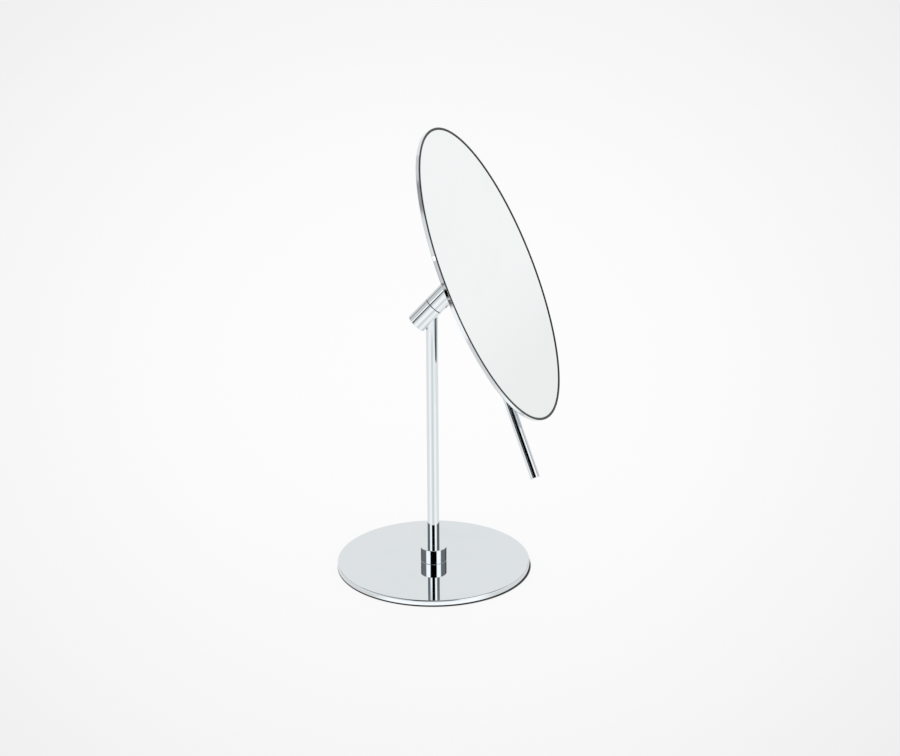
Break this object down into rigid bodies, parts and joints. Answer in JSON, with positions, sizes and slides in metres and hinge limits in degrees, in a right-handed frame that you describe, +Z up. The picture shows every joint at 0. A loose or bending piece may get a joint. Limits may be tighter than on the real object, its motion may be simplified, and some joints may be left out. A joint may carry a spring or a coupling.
{
  "type": "table mirror",
  "caption": "Free-standing round shaving mirror: thin rimmed glass on an oblique friction swivel with a rod handle, carried by a slim stem on a round polished base.",
  "frame": {"origin": "centre of the resting face under the base pad, on the stem's axis", "axes": "+Z up along the stem, -Y the side on which the mirror stands, +X to the right of someone who looks into the mirror from that side"},
  "size_m": [0.1998, 0.1504, 0.3026],
  "materials": {
    "chrome": "mirror-polished chrome plate",
    "mirror_glass": "silvered float glass",
    "seal_rubber": "black sealing bead",
    "pad_rubber": "black fine-textured foam rubber",
    "tape_foam": "pale mounting foam",
    "steel": "zinc-plated steel",
    "brass": "turned brass",
    "washer_plastic": "dark friction plastic"
  },
  "bodies": {
    "stand": {"base_plate": "chrome", "base_pad": "pad_rubber", "base_screw": "steel", "stem": "chrome", "stem_insert": "brass", "stem_collar": "chrome", "collar_grub_screw": "steel", "swivel_housing": "chrome", "housing_cap": "chrome", "seam_washer": "washer_plastic", "web_washer": "washer_plastic"},
    "mirror_head": {"swivel_axle": "steel", "thrust_washer": "steel", "disc_springs": "steel", "swivel_nut": "steel", "swivel_head": "chrome", "axle_grub_screw": "steel", "flange_grub_screw": "steel", "handle_rod": "chrome", "mirror_flange": "chrome", "mirror_dish": "chrome", "glass_tape": "tape_foam", "mirror_glass": "mirror_glass", "glass_seal": "seal_rubber"}
  },
  "joints": [
    {"name": "head_swivel", "type": "hinge", "parent": "stand", "child": "mirror_head", "pos_m": [0, 0, 0.1851], "axis": [0, -0.682, 0.7314], "continuous": true}
  ]
}
